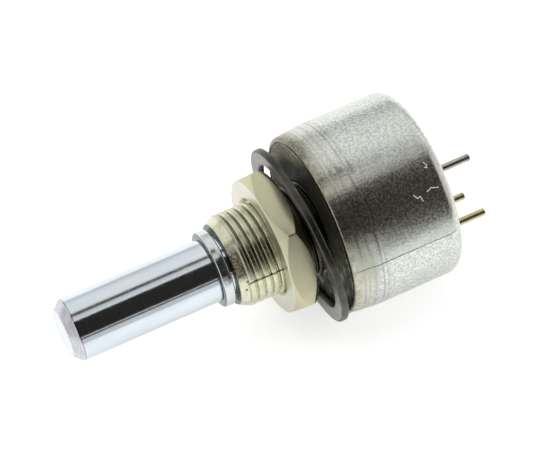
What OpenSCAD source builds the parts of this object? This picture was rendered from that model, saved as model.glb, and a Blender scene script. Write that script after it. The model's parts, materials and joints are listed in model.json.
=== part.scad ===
// Rotary potentiometer for panel mounting: a plain round shaft in a threaded bush, a hexagon nut
// and an internal-tooth lock washer, and a round metal can with three wire pins behind.
// The shaft points to -Y and +Z is up. The origin lies on the shaft's axis, in the plane of the
// can's front, where the panel sits. All sizes are in millimetres.

/* [Shaft] */
// Diameter of the shaft
shaft_d = 6.35; // [6:0.05:6.5]
// Length of the shaft from the can's front to its tip
shaft_reach = 26.2; // [16:0.1:40]
// Length of the bevel at the shaft's tip
tip_bevel = 0.9; // [0.3:0.1:1.5]
// Width of that bevel, on the radius
tip_bevel_w = 0.85; // [0.3:0.05:1.5]
// Step down to the shaft's drive end inside the can, on the radius
drive_step = 0.7; // [0.5:0.05:0.9]
// Depth of each of the two flats on the drive end
drive_flat_depth = 0.5; // [0.3:0.05:0.7]

/* [Retaining ring] */
// Width of the ring on the shaft in front of the bush, on the radius
ring_w = 1.2; // [0.9:0.05:1.5]
// Thickness of the ring
ring_t = 1.05; // [0.5:0.05:1.2]
// Depth of the ring's groove in the shaft
ring_groove_depth = 0.5; // [0.3:0.05:0.7]
// End play between the ring and the bush
ring_play = 0.3; // [0.1:0.05:0.6]
// Angle of the opening in the ring
ring_opening = 32; // [20:1:60]
// Direction of that opening about the shaft
ring_turn = 120; // [0:1:360]

/* [Bush] */
// Diameter over the crests of the bush's thread
bush_d = 9.45; // [9.4:0.005:9.6]
// Length of the bush in front of the can
bush_reach = 9.525; // [7:0.1:14]
// Length of the bevel at the bush's front
bush_bevel = 1.1; // [0.5:0.05:1.2]
// Width of that bevel, on the radius
bush_bevel_w = 0.6; // [0.3:0.05:0.8]
// Distance between two crests of the bush's thread
thread_pitch = 0.79375; // [0.79:0.00125:0.8]
// Depth of the thread
thread_depth = 0.4; // [0.3:0.01:0.48]
// Number of grooves
thread_grooves = 10; // [8:1:10]
// Width of the flat at a groove's root
thread_root_w = 0.1; // [0.05:0.01:0.12]
// Width of the flange that holds the bush in the front plate, outside the thread
bush_flange_w = 1; // [0.7:0.1:1.3]
// Thickness of that flange
bush_flange_t = 1.2; // [0.8:0.1:1.6]

/* [Nut] */
// Width of the nut across its flats
nut_flats = 13.7; // [13.5:0.1:14.2]
// Thickness of the nut
nut_t = 2.6; // [2:0.1:4]
// Distance of the nut's round faces inside its flats
nut_face_inset = 0.08; // [0.05:0.01:0.5]
// Depth of the front bevel at the nut's corners
nut_front_bevel = 0.9; // [0.4:0.05:1]
// Depth of the rear bevel at the nut's corners
nut_rear_bevel = 1.1; // [0.4:0.05:1.1]
// Depth of the countersink at each end of the nut's hole
nut_countersink = 0.4; // [0.2:0.05:0.6]
// Direction of one of the nut's corners about the shaft
nut_turn = -61.3; // [-90:0.1:90]
// Gap between the can's front and the nut, taken up by the loose washer
nut_stand_off = 2.55; // [2.2:0.05:3]

/* [Lock washer] */
// Distance of the lock washer's rim inside the can's outline
washer_inset = 0.25; // [0.1:0.01:0.6]
// Width of the rim
washer_rim_w = 1.6; // [1.5:0.05:2]
// Gap between the tips of the teeth and the bush's thread
washer_play = 0.45; // [0.3:0.05:0.6]
// Thickness of the lock washer's sheet
washer_t = 0.75; // [0.5:0.05:0.9]
// Number of teeth
washer_teeth = 9; // [7:1:11]
// Direction of the first tooth about the shaft
washer_turn = 208.7; // [0:0.1:360]
// Direction in which the loose washer hangs off centre, about the shaft
washer_sag_turn = 28.7; // [0:0.1:360]
// Direction of the loose washer's lean, from straight back at the bottom
washer_lean_turn = -12.3; // [-45:0.1:45]
// Width of a tooth at the rim
tooth_root_w = 3.1; // [2.2:0.1:3.4]
// Width of a tooth at its tip
tooth_tip_w = 2.1; // [1.4:0.1:2.4]
// Twist of a tooth at its tip
tooth_twist = 13; // [8:1:13]

/* [Can] */
// Outer diameter of the can
can_d = 19.05; // [18.9:0.05:20]
// Length of the can
can_len = 11.9; // [11.4:0.1:16]
// Thickness of the can's sheet
can_wall = 0.45; // [0.3:0.05:0.6]
// Radius of the can's rear corner
can_rear_r = 1.15; // [0.7:0.05:1.4]
// Radius of the rolled shoulder at the can's front
can_shoulder_r = 1.9; // [1.6:0.05:2.2]
// Width of that shoulder, from the can's outline to its front plane
can_shoulder_w = 0.55; // [0.45:0.05:0.7]
// Width of the rolled lip, from the can's outline to the front plate
can_lip_w = 0.8; // [0.75:0.05:1]
// Depth of the rolled lip
can_lip_t = 0.5; // [0.3:0.05:0.6]

/* [Front plate] */
// Thickness of the moulded front plate
plate_t = 2.4; // [2.3:0.1:2.8]
// Diameter of the seal ring's section between the plate and the can
plate_seal_d = 0.9; // [0.7:0.05:1]
// Distance of the seal ring behind the rolled lip
plate_seal_place = 0.3; // [0.2:0.05:0.4]
// Half of the angle of the fixed stop on the front plate
stop_half_angle = 17.5; // [12:0.5:17.5]
// Height of the fixed stop behind the front plate
stop_height = 1.5; // [1.3:0.1:1.6]
// Gap between the fixed stop and the bush's flange
stop_flange_gap = 0.3; // [0.2:0.05:0.5]
// Gap between the fixed stop and the plate's edge
stop_edge_gap = 0.5; // [0.3:0.05:0.6]

/* [Rotor] */
// Thickness of the thrust washer behind the bush
thrust_t = 0.4; // [0.3:0.05:0.5]
// Distance of the thrust washer's edge inside the bush's flange
thrust_inset = 0.3; // [0.1:0.1:1]
// Thickness of the stop arm
arm_t = 0.8; // [0.6:0.05:0.9]
// Half of the angle of the stop arm
arm_half_angle = 12; // [8:0.5:12]
// Gap between the arm's end and the can's wall
arm_end_gap = 1; // [0.6:0.1:1.2]
// Height of the coned spring washer
spring_h = 0.6; // [0.5:0.05:0.7]
// Thickness of the coned spring washer's sheet
spring_sheet = 0.25; // [0.15:0.05:0.3]
// Thickness of the rotor's hub
rotor_t = 2; // [1.6:0.1:2.2]
// Width of the rotor's hub outside the shaft's drive end
hub_w = 2.5; // [2.3:0.1:2.7]
// Step between the rotor's hub and its rim at the front
rotor_step = 0.5; // [0.3:0.1:0.8]
// Gap between the rotor's rim and the can's wall
rotor_gap = 0.8; // [0.6:0.1:1.2]
// Thickness of the clip that holds the rotor on the shaft
clip_t = 0.4; // [0.3:0.05:0.5]
// Depth of the clip's groove below the drive flats
clip_groove_depth = 0.2; // [0.1:0.05:0.3]
// Width of the clip, on the radius
clip_w = 1.3; // [1.2:0.1:1.5]
// Length of the shaft behind the clip
clip_land = 0.1; // [0.1:0.05:0.2]

/* [Contact] */
// Thickness of the contact spring's sheet
contact_sheet = 0.2; // [0.12:0.02:0.24]
// Width of the contact spring's ring on the rotor
contact_ring_w = 1.3; // [1:0.1:1.5]
// Gap between that ring and the clip
contact_ring_gap = 0.4; // [0.2:0.05:0.5]
// Length of a finger on the track
track_run = 3.6; // [3:0.1:4]
// Distance from the track fingers' foot to the middle of the comb
track_run_back = 2.6; // [2:0.1:3]
// Length of the foot that the track's fingers stand on
contact_foot = 0.9; // [0.7:0.1:1]
// Width of the arm from the ring to that foot
contact_arm_w = 0.9; // [0.7:0.1:1.2]
// Length of a finger's turned-down tip
finger_tip = 0.5; // [0.3:0.05:0.6]
// Drop of that tip
finger_tip_drop = 0.25; // [0.1:0.05:0.3]
// Diameter of a rivet's head
rivet_d = 0.9; // [0.7:0.05:1]
// Height of a rivet's head
rivet_h = 0.25; // [0.15:0.05:0.3]
// Number of fingers on the resistive track
track_fingers = 4; // [3:1:4]
// Number of fingers on the collector ring
collector_fingers = 3; // [2:1:3]
// Width of one finger
finger_w = 0.3; // [0.25:0.01:0.34]
// Distance between the centres of two fingers
finger_pitch = 0.44; // [0.4:0.01:0.46]

/* [Element] */
// Gap between the ceramic substrate and the can's wall
substrate_gap = 0.28; // [0.1:0.02:0.4]
// Thickness of the ceramic substrate
substrate_t = 0.8; // [0.6:0.1:1]
// Distance from the rotor to the substrate
element_gap = 1.8; // [1.6:0.1:2]
// Distance of the resistive track inside the substrate's edge
track_inset = 0.8; // [0.5:0.1:1]
// Width of the resistive track
track_w = 1.8; // [1.7:0.1:1.9]
// Half of the angle left open between the ends of the track
track_half_opening = 24; // [20:1:26]
// Gap between the collector ring and the pads of the end pins
collector_gap = 0.35; // [0.3:0.05:0.5]
// Width of the collector ring
collector_w = 1.5; // [1.3:0.1:1.6]
// Width of the printed leads to the pins
lead_w = 0.7; // [0.5:0.05:0.8]
// Thickness of the printed layers
print_t = 0.08; // [0.05:0.01:0.1]

/* [Pins] */
// Diameter of a pin
pin_d = 0.75; // [0.6:0.05:0.9]
// Step to the thicker root of a pin inside the can, on the radius
pin_root_step = 0.18; // [0.16:0.01:0.22]
// Length of the two end pins behind the can
pin_reach = 4.4; // [3:0.1:10]
// Length of the wiper pin behind the can
wiper_pin_reach = 4; // [3:0.1:10]
// Place of the two end pins, as a share of the substrate's radius
end_pin_share = 0.4475; // [0.43:0.0025:0.48]
// Angle of an end pin from the wiper pin, about the shaft
end_pin_turn = 62.8; // [60:0.1:66]
// Distance of the wiper pin inside the middle of the track
wiper_pin_inset = 1; // [0.8:0.1:1.3]
// Diameter of a pin's head on the substrate
pin_head_d = 1.45; // [1.4:0.05:1.5]
// Thickness of that head
pin_head_t = 0.2; // [0.1:0.05:0.25]
// Bevel at a pin's end
pin_bevel = 0.1; // [0.05:0.01:0.15]
// Diameter of the insulating bead round a pin
bead_d = 1.9; // [1.6:0.1:2.2]
// Height of a bead behind the can's rear face
bead_proud = 0.15; // [0.05:0.05:0.3]

/* [Fits] */
// Running clearance of the shaft in its bush, on the radius
running_fit = 0.03; // [0.01:0.01:0.08]
// Clearance of pieces that are pressed or moulded together, on the radius
seat_fit = 0.02; // [0.01:0.01:0.04]
// Gap between faces that slide past each other
face_gap = 0.05; // [0.03:0.01:0.08]

/* [Hidden] */
$fn = 96;

// A cut runs this far past the face that it opens
past = 1;
// Joined shapes reach this far into each other
joined = 0.05;
// Sides of a small round
small_fn = 32;

shaft_r = shaft_d / 2;
tip_face_r = shaft_r - tip_bevel_w;
drive_r = shaft_r - drive_step;
drive_flats = 2 * (drive_r - drive_flat_depth);
clip_groove_r = drive_flats / 2 - clip_groove_depth;
clip_r = clip_groove_r + clip_w;
ring_groove_r = shaft_r - ring_groove_depth;
ring_r = ring_groove_r + ring_w;

bush_r = bush_d / 2;
bush_bore_r = shaft_r + running_fit;
bush_flange_r = bush_r + bush_flange_w;
thread_flank = 30;
thread_land = 0.015;
thread_groove_w = thread_root_w + 2 * thread_depth * tan(thread_flank);
thread_start = bush_bevel + thread_groove_w / 2 + thread_land;
nut_face_r = nut_flats / 2 - nut_face_inset;

can_r = can_d / 2;
can_bore_r = can_r - can_wall;
can_front_r = can_r - can_shoulder_w;
can_lip_r = can_r - can_lip_w;
plate_r = can_bore_r - seat_fit;
plate_step_y = can_lip_t + joined + seat_fit;

washer_r = can_r - washer_inset;
washer_rim_r = washer_r - washer_rim_w;
washer_bore_r = bush_r + washer_play;
tooth_root_r = washer_rim_r + washer_rim_w / 7;

thrust_r = bush_flange_r - thrust_inset;
hub_r = drive_r + hub_w;
rotor_r = can_bore_r - rotor_gap;
contact_inner_r = clip_r + contact_ring_gap;
contact_outer_r = contact_inner_r + contact_ring_w;
substrate_r = can_bore_r - substrate_gap;
track_outer_r = substrate_r - track_inset;
track_inner_r = track_outer_r - track_w;
track_r = (track_outer_r + track_inner_r) / 2;
wiper_pin_x = track_r - wiper_pin_inset;

// Places along the axis, from the front of the can to the back
flange_rear = plate_t;
thrust_front = flange_rear + face_gap;
thrust_rear = thrust_front + thrust_t;
arm_front = thrust_rear + face_gap;
arm_rear = arm_front + arm_t;
rotor_front = arm_rear + spring_h;
rotor_rear = rotor_front + rotor_t;
clip_front = rotor_rear + face_gap;
shaft_rear = clip_front + clip_t + clip_land;
element_front = rotor_rear + element_gap;
print_front = element_front - print_t;
element_rear = element_front + substrate_t;
can_end_inner = can_len - can_wall;
header_len = can_end_inner - element_rear;

// The lock washer lies loose: its rim rests on the can below and its top leans on the nut
washer_slack = 0.03;
tooth_room = 0.12;
sag_room = 0.09;
washer_sag = washer_play - sag_room;
washer_room = nut_stand_off - washer_t - washer_slack - tooth_room;
washer_tilt = asin(washer_room / (can_front_r + nut_face_r + washer_sag));
washer_y = -washer_slack - can_front_r * sin(washer_tilt) - washer_t / 2 * cos(washer_tilt);

ring_rear = -(bush_reach + ring_play);
ring_front = ring_rear - ring_t;
seal_place = -bush_reach / 3;
seal_section_d = 0.9;
seal_groove_r = bush_bore_r - 2 * seat_fit - seal_section_d;
seal_groove_w = 1.1;

pin_r = pin_d / 2;
pin_root_r = pin_r + pin_root_step;
pin_hole_r = pin_root_r + seat_fit;
pin_root_end = can_len + bead_proud;
end_pin_r = substrate_r * end_pin_share;
end_pin_x = end_pin_r * cos(end_pin_turn);
end_pin_z = end_pin_r * sin(end_pin_turn);
collector_outer_r = end_pin_r - pin_head_d / 2 - collector_gap;
collector_inner_r = collector_outer_r - collector_w;
collector_r = (collector_outer_r + collector_inner_r) / 2;

steel = [0.86, 0.88, 0.9];
plated_brass = [0.78, 0.77, 0.7];
nut_nickel = [0.78, 0.75, 0.66];
black_steel = [0.2, 0.2, 0.21];
can_metal = [0.72, 0.71, 0.69];
black_moulding = [0.06, 0.065, 0.06];
black_rubber = [0.05, 0.05, 0.05];
amber_moulding = [0.42, 0.28, 0.14];
contact_metal = [0.82, 0.68, 0.42];
ceramic = [0.93, 0.92, 0.88];
track_ink = [0.1, 0.1, 0.1];
silver_ink = [0.75, 0.75, 0.76];
pin_gold = [0.8, 0.7, 0.45];
bead_glass = [0.25, 0.2, 0.12];

// Stands its children on the shaft's axis: their +Z runs along +Y from the given place
module on_axis(y) {
    translate([0, y, 0])
        rotate([-90, 0, 0])
            children();
}

// A tube or washer about the local Z axis
module tube(outer_r, inner_r, length) {
    difference() {
        cylinder(r = outer_r, h = length);
        translate([0, 0, -past])
            cylinder(r = inner_r, h = length + 2 * past);
    }
}

// A wedge about the local X axis, to cut or keep part of a turn
module wedge(half_angle, reach, length) {
    linear_extrude(height = length)
        polygon([
            [0, 0],
            [reach, -reach * tan(half_angle)],
            [reach, reach * tan(half_angle)]
        ]);
}

// A flat sector of a ring about the local X axis
module ring_sector(outer_r, inner_r, half_angle, length) {
    intersection() {
        tube(outer_r, inner_r, length);
        wedge(half_angle, 2 * outer_r, length);
    }
}

// A round bar with two flats, as the drive end of the shaft and the holes on it
module double_d(diameter, flats, length) {
    intersection() {
        cylinder(d = diameter, h = length);
        translate([-diameter, -flats / 2, 0])
            cube([2 * diameter, flats, length]);
    }
}

// A washer with the hole that fits the shaft's drive flats
module driven_washer(outer_r, length) {
    difference() {
        cylinder(r = outer_r, h = length);
        translate([0, 0, -past])
            double_d(2 * (drive_r + seat_fit), drive_flats + 2 * seat_fit, length + 2 * past);
    }
}

// Shaft with a chamfered tip, two grooves and a flatted drive end
module shaft() {
    bearing_rear = arm_front;
    color(steel)
    union() {
        on_axis(-shaft_reach)
            rotate_extrude()
                polygon([
                    [0, 0],
                    [tip_face_r, 0],
                    [shaft_r, tip_bevel],
                    [shaft_r, shaft_reach + ring_front],
                    [ring_groove_r, shaft_reach + ring_front],
                    [ring_groove_r, shaft_reach + ring_rear],
                    [shaft_r, shaft_reach + ring_rear],
                    [shaft_r, shaft_reach + seal_place - seal_groove_w / 2],
                    [seal_groove_r, shaft_reach + seal_place - seal_groove_w / 2],
                    [seal_groove_r, shaft_reach + seal_place + seal_groove_w / 2],
                    [shaft_r, shaft_reach + seal_place + seal_groove_w / 2],
                    [shaft_r, shaft_reach + bearing_rear],
                    [0, shaft_reach + bearing_rear]
                ]);
        difference() {
            on_axis(bearing_rear - joined)
                double_d(2 * drive_r, drive_flats, shaft_rear - bearing_rear + joined);
            on_axis(clip_front)
                tube(2 * drive_r, clip_groove_r, clip_t);
        }
    }
}

// Open spring ring in the groove in front of the bush
module retaining_ring() {
    color(steel)
    on_axis(ring_front)
        difference() {
            tube(ring_r, ring_groove_r + seat_fit, ring_t);
            rotate([0, 0, ring_turn])
                translate([0, 0, -past])
                    wedge(ring_opening / 2, 2 * ring_r, ring_t + 2 * past);
        }
}

// Rubber ring between the shaft and the bush
module shaft_seal() {
    color(black_rubber)
    on_axis(seal_place)
        rotate_extrude()
            translate([seal_groove_r + seal_section_d / 2 + seat_fit, 0])
                circle(d = seal_section_d, $fn = small_fn);
}

// Bush: chamfered barrel with the thread's grooves as rings, and a flange held from behind
// by the front plate
module bushing() {
    length = bush_reach + flange_rear;
    color(plated_brass)
    on_axis(-bush_reach)
        rotate_extrude()
            polygon(concat(
                [
                    [bush_bore_r, 0],
                    [bush_r - bush_bevel_w, 0],
                    [bush_r, bush_bevel]
                ],
                [
                    for (i = [0 : thread_grooves - 1])
                        for (corner = [
                            [bush_r, -thread_groove_w / 2],
                            [bush_r - thread_depth, -thread_root_w / 2],
                            [bush_r - thread_depth, thread_root_w / 2],
                            [bush_r, thread_groove_w / 2]
                        ])
                            corner + [0, thread_start + i * thread_pitch]
                ],
                [
                    [bush_r, length - bush_flange_t],
                    [bush_flange_r, length - bush_flange_t],
                    [bush_flange_r, length],
                    [bush_bore_r, length]
                ]
            ));
}

// Hexagon nut, bevelled on both sides, with a corner turned to the upper right
module hex_nut() {
    corner_r = nut_flats / 2 / cos(30);
    hole_r = bush_r + seat_fit;
    color(nut_nickel)
    on_axis(-nut_stand_off - nut_t)
        difference() {
            intersection() {
                rotate([0, 0, nut_turn])
                    cylinder(r = corner_r, h = nut_t, $fn = 6);
                rotate_extrude()
                    polygon([
                        [0, 0],
                        [nut_face_r, 0],
                        [corner_r + joined, nut_front_bevel],
                        [corner_r + joined, nut_t - nut_rear_bevel],
                        [nut_face_r, nut_t],
                        [0, nut_t]
                    ]);
            }
            translate([0, 0, -past])
                cylinder(r = hole_r, h = nut_t + 2 * past);
            translate([0, 0, -joined])
                cylinder(r1 = hole_r + nut_countersink, r2 = hole_r, h = nut_countersink);
            translate([0, 0, nut_t - nut_countersink + joined])
                cylinder(r1 = hole_r, r2 = hole_r + nut_countersink, h = nut_countersink);
        }
}

// One tooth of the lock washer: it narrows and twists from the rim to its tip
module washer_tooth() {
    translate([tooth_root_r, 0, 0])
        rotate([0, -90, 0])
            linear_extrude(height = tooth_root_r - washer_bore_r, twist = tooth_twist, slices = 6,
                           scale = [1, tooth_tip_w / tooth_root_w], $fn = 4)
                square([washer_t, tooth_root_w], center = true);
}

// Lock washer with twisted teeth inside its rim, leaning between the nut and the can
module lock_washer() {
    rim_edge = 0.12;
    half_t = washer_t / 2;
    color(black_steel)
    translate([washer_sag * cos(washer_sag_turn), washer_y, -washer_sag * sin(washer_sag_turn)])
        rotate([0, washer_lean_turn, 0])
        rotate([washer_tilt, 0, 0])
        rotate([0, -washer_lean_turn, 0])
            on_axis(0) {
                rotate_extrude()
                    polygon([
                        [washer_rim_r, -half_t],
                        [washer_r - rim_edge, -half_t],
                        [washer_r, -half_t + rim_edge],
                        [washer_r, half_t - rim_edge],
                        [washer_r - rim_edge, half_t],
                        [washer_rim_r, half_t]
                    ]);
                for (i = [0 : washer_teeth - 1])
                    rotate([0, 0, washer_turn + i * 360 / washer_teeth])
                        washer_tooth();
            }
}

// Half section of the can's outside: rolled shoulder, straight wall and round rear corner
module can_outline() {
    shoulder_x = can_r - can_shoulder_r;
    front_drop = can_front_r - shoulder_x;
    shoulder_y = sqrt(can_shoulder_r * can_shoulder_r - front_drop * front_drop);
    square([shoulder_x, can_len]);
    intersection() {
        translate([shoulder_x, shoulder_y])
            circle(r = can_shoulder_r);
        square([can_r, shoulder_y]);
    }
    translate([0, shoulder_y])
        square([can_r, can_len - can_rear_r - shoulder_y]);
    translate([can_r - can_rear_r, can_len - can_rear_r])
        circle(r = can_rear_r);
    square([can_r - can_rear_r, can_len]);
}

// Half section of the space inside the can
module can_hollow() {
    inner_corner_r = can_rear_r - can_wall;
    translate([0, -past])
        square([can_lip_r, can_lip_t + past + joined]);
    translate([0, can_lip_t])
        square([can_bore_r, can_end_inner - inner_corner_r - can_lip_t]);
    translate([can_bore_r - inner_corner_r, can_end_inner - inner_corner_r])
        circle(r = inner_corner_r);
    square([can_bore_r - inner_corner_r, can_end_inner]);
}

// Places its children at one of the two end pins
module at_end_pin(side) {
    translate([end_pin_x, 0, side * end_pin_z])
        children();
}

// Places its children at the wiper pin
module at_wiper_pin() {
    translate([wiper_pin_x, 0, 0])
        children();
}

// Places its children at all three pins
module at_all_pins() {
    at_end_pin(1)
        children();
    at_end_pin(-1)
        children();
    at_wiper_pin()
        children();
}

// Drawn can: its front lip is rolled over the front plate and its end has three holes
module can() {
    color(can_metal)
    difference() {
        on_axis(0)
            rotate_extrude()
                difference() {
                    can_outline();
                    can_hollow();
                }
        at_all_pins()
            on_axis(can_end_inner - past)
                cylinder(d = bead_d + 2 * seat_fit, h = can_wall + 2 * past);
    }
}

// Moulded front plate with the bush's seat, the seal's groove and the fixed stop
module front_plate() {
    lip_r = can_lip_r - seat_fit;
    groove_bottom = plate_r - plate_seal_d;
    groove_front = plate_step_y + plate_seal_place;
    groove_rear = groove_front + plate_seal_d + 2 * seat_fit;
    hole_r = bush_r + seat_fit;
    seat_r = bush_flange_r + seat_fit;
    color(black_moulding)
    union() {
        on_axis(0)
            rotate_extrude()
                polygon([
                    [hole_r, 0],
                    [lip_r, 0],
                    [lip_r, plate_step_y],
                    [plate_r, plate_step_y],
                    [plate_r, groove_front],
                    [groove_bottom, groove_front],
                    [groove_bottom, groove_rear],
                    [plate_r, groove_rear],
                    [plate_r, plate_t],
                    [seat_r, plate_t],
                    [seat_r, plate_t - bush_flange_t - seat_fit],
                    [hole_r, plate_t - bush_flange_t - seat_fit]
                ]);
        on_axis(plate_t - joined)
            ring_sector(plate_r - stop_edge_gap, seat_r + stop_flange_gap,
                        stop_half_angle, stop_height + joined);
    }
}

// Rubber ring between the front plate and the can
module plate_seal() {
    section_r = plate_seal_d / 2;
    centre_r = plate_r - section_r;
    centre_y = plate_step_y + plate_seal_place + section_r + seat_fit;
    color(black_rubber)
    on_axis(centre_y)
        rotate_extrude()
            translate([centre_r, 0])
                circle(r = section_r, $fn = small_fn);
}

// Thrust washer between the bush's flange and the stop arm
module thrust_washer() {
    color(contact_metal)
    on_axis(thrust_front)
        tube(thrust_r, shaft_r + seat_fit, thrust_t);
}

// Stop arm: a washer on the drive flats with one arm that meets the fixed stop
module stop_arm() {
    color(steel)
    on_axis(arm_front)
        difference() {
            union() {
                cylinder(r = thrust_r, h = arm_t);
                rotate([0, 0, 180])
                    ring_sector(can_bore_r - arm_end_gap, drive_r + seat_fit, arm_half_angle, arm_t);
            }
            translate([0, 0, -past])
                double_d(2 * (drive_r + seat_fit), drive_flats + 2 * seat_fit, arm_t + 2 * past);
        }
}

// Coned spring washer that takes up the rotor's play
module spring_washer() {
    outer_r = thrust_r - spring_sheet;
    inner_r = drive_r + spring_sheet;
    color(steel)
    on_axis(arm_rear)
        rotate_extrude()
            polygon([
                [outer_r, 0],
                [outer_r, spring_sheet],
                [inner_r, spring_h],
                [inner_r, spring_h - spring_sheet]
            ]);
}

// Moulded rotor with a thick hub and a thinner rim
module rotor() {
    rim_t = rotor_t - rotor_step;
    color(amber_moulding)
    on_axis(rotor_front)
        union() {
            driven_washer(hub_r, rotor_t);
            translate([0, 0, rotor_t - rim_t])
                tube(rotor_r, hub_r - joined, rim_t);
        }
}

// Clip in the groove at the shaft's rear end
module rotor_clip() {
    color(steel)
    on_axis(clip_front)
        difference() {
            tube(clip_r, clip_groove_r + seat_fit, clip_t);
            rotate([0, 0, 90])
                translate([0, 0, -past])
                    wedge(ring_opening / 2, 2 * clip_r, clip_t + 2 * past);
        }
}

// Side view of one spring finger: a foot, a rising strip and a turned-down tip
module finger_profile(run, rise) {
    tip_y = rise - finger_tip_drop;
    polygon([
        [0, 0],
        [run, rise - contact_sheet],
        [run + finger_tip, tip_y - contact_sheet],
        [run + finger_tip, tip_y],
        [run, rise],
        [0, contact_sheet]
    ]);
}

// Fingers side by side, each a strip of sheet, from a foot on the rotor to the element
module finger_comb(count, run, rise) {
    for (i = [0 : count - 1])
        translate([0, (i - (count - 1) / 2) * finger_pitch + finger_w / 2, 0])
            rotate([90, 0, 0])
                linear_extrude(height = finger_w)
                    finger_profile(run, rise);
}

// Contact spring: a sheet ring on the rotor, a comb on the track and a comb on the collector
module contact_spring() {
    rise = element_gap - print_t - face_gap;
    ring_mid_r = (contact_outer_r + contact_inner_r) / 2;
    track_comb_w = (track_fingers - 1) * finger_pitch + finger_w;
    collector_comb_w = (collector_fingers - 1) * finger_pitch + finger_w;
    collector_foot = contact_ring_w / 4;
    foot_place = -track_run_back - contact_foot;
    color(contact_metal)
    on_axis(rotor_rear)
        union() {
            tube(contact_outer_r, contact_inner_r, contact_sheet);
            translate([-track_r, -track_run_back, 0])
                rotate([0, 0, 90])
                    finger_comb(track_fingers, track_run, rise);
            translate([-track_r - track_comb_w / 2, foot_place, 0])
                cube([track_comb_w, contact_foot + joined, contact_sheet]);
            translate([-track_r, foot_place, 0])
                cube([track_r - contact_inner_r / 2, contact_arm_w, contact_sheet]);
            translate([ring_mid_r, 0, 0])
                rotate([0, 0, 180])
                    finger_comb(collector_fingers, ring_mid_r - collector_r, rise);
            translate([ring_mid_r - joined, -collector_comb_w / 2, 0])
                cube([collector_foot, collector_comb_w, contact_sheet]);
        }
}

// Two rivets that hold the contact spring on the rotor
module contact_rivets() {
    color(plated_brass)
    for (side = [-1, 1])
        translate([0, 0, side * (contact_outer_r + contact_inner_r) / 2])
            on_axis(rotor_rear + contact_sheet)
                cylinder(d = rivet_d, h = rivet_h, $fn = small_fn);
}

// Ceramic disc that carries the printed track, with a hole for each pin
module substrate() {
    color(ceramic)
    difference() {
        on_axis(element_front)
            cylinder(r = substrate_r, h = substrate_t);
        at_all_pins()
            on_axis(element_front - past)
                cylinder(r = pin_hole_r, h = substrate_t + 2 * past, $fn = small_fn);
    }
}

// Printed resistive track, open towards the pins
module resistive_track() {
    color(track_ink)
    on_axis(print_front)
        difference() {
            tube(track_outer_r, track_inner_r, print_t);
            translate([0, 0, -past])
                wedge(track_half_opening, 2 * track_outer_r, print_t + 2 * past);
        }
}

// Printed collector ring with the lead that runs out to the wiper pin
module collector_ring() {
    color(silver_ink)
    difference() {
        on_axis(print_front)
            union() {
                tube(collector_outer_r, collector_inner_r, print_t);
                translate([collector_r, -lead_w / 2, 0])
                    cube([wiper_pin_x - collector_r, lead_w, print_t]);
                translate([wiper_pin_x, 0, 0])
                    cylinder(d = pin_head_d, h = print_t, $fn = small_fn);
            }
        at_wiper_pin()
            on_axis(print_front - past)
                cylinder(r = pin_hole_r, h = print_t + 2 * past, $fn = small_fn);
    }
}

// Printed pads of the end pins, each with a lead to one end of the track
module end_pads() {
    lead_end = sqrt(track_inner_r * track_inner_r - end_pin_z * end_pin_z);
    color(silver_ink)
    for (side = [-1, 1])
        difference() {
            at_end_pin(side)
                on_axis(print_front) {
                    cylinder(d = pin_head_d, h = print_t, $fn = small_fn);
                    translate([0, -lead_w / 2, 0])
                        cube([lead_end - end_pin_x + lead_w, lead_w, print_t]);
                }
            on_axis(print_front - past)
                tube(track_outer_r, track_inner_r - seat_fit, print_t + 2 * past);
            at_end_pin(side)
                on_axis(print_front - past)
                    cylinder(r = pin_hole_r, h = print_t + 2 * past, $fn = small_fn);
        }
}

// Moulded block that fills the can behind the substrate and carries the pins
module header() {
    block_r = plate_r - can_rear_r;
    color(amber_moulding)
    difference() {
        on_axis(element_rear)
            union() {
                cylinder(r = block_r, h = header_len);
                cylinder(r = plate_r, h = header_len - can_rear_r);
            }
        at_all_pins()
            on_axis(element_rear - past)
                cylinder(r = pin_hole_r, h = header_len + 2 * past, $fn = small_fn);
    }
}

// Round wire pin with a flat head on the substrate, a thicker root and a bevelled end
module pin(reach) {
    root_len = pin_root_end - print_front;
    length = can_len + reach - print_front;
    color(pin_gold)
    on_axis(print_front)
        union() {
            rotate_extrude($fn = small_fn)
                polygon([
                    [0, -pin_head_t],
                    [pin_root_r, -pin_head_t],
                    [pin_root_r, root_len],
                    [pin_r, root_len],
                    [pin_r, length - pin_bevel],
                    [pin_r - pin_bevel, length],
                    [0, length]
                ]);
            translate([0, 0, -pin_head_t])
                cylinder(d = pin_head_d, h = pin_head_t, $fn = small_fn);
        }
}

module end_pin_1() {
    at_end_pin(1)
        pin(pin_reach);
}

module end_pin_3() {
    at_end_pin(-1)
        pin(pin_reach);
}

module wiper_pin_2() {
    at_wiper_pin()
        pin(wiper_pin_reach);
}

// Insulating bead round a pin in its hole in the can's end
module pin_bead() {
    bead_front = can_end_inner + seat_fit;
    bead_len = pin_root_end - bead_front;
    color(bead_glass)
    on_axis(bead_front)
        tube(bead_d / 2, pin_hole_r, bead_len);
}

module pin_bead_1() {
    at_end_pin(1)
        pin_bead();
}

module pin_bead_3() {
    at_end_pin(-1)
        pin_bead();
}

module pin_bead_2() {
    at_wiper_pin()
        pin_bead();
}

shaft();
retaining_ring();
shaft_seal();
bushing();
hex_nut();
lock_washer();
can();
front_plate();
plate_seal();
thrust_washer();
stop_arm();
spring_washer();
rotor();
rotor_clip();
contact_spring();
contact_rivets();
substrate();
resistive_track();
collector_ring();
end_pads();
header();
end_pin_1();
end_pin_3();
wiper_pin_2();
pin_bead_1();
pin_bead_3();
pin_bead_2();
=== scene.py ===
"""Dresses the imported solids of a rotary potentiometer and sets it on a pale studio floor."""

import json
import math

import bpy
from bpy.props import FloatProperty, FloatVectorProperty, IntProperty, PointerProperty
from bpy.types import Operator, Panel, PropertyGroup
from mathutils import Matrix, Vector


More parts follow.
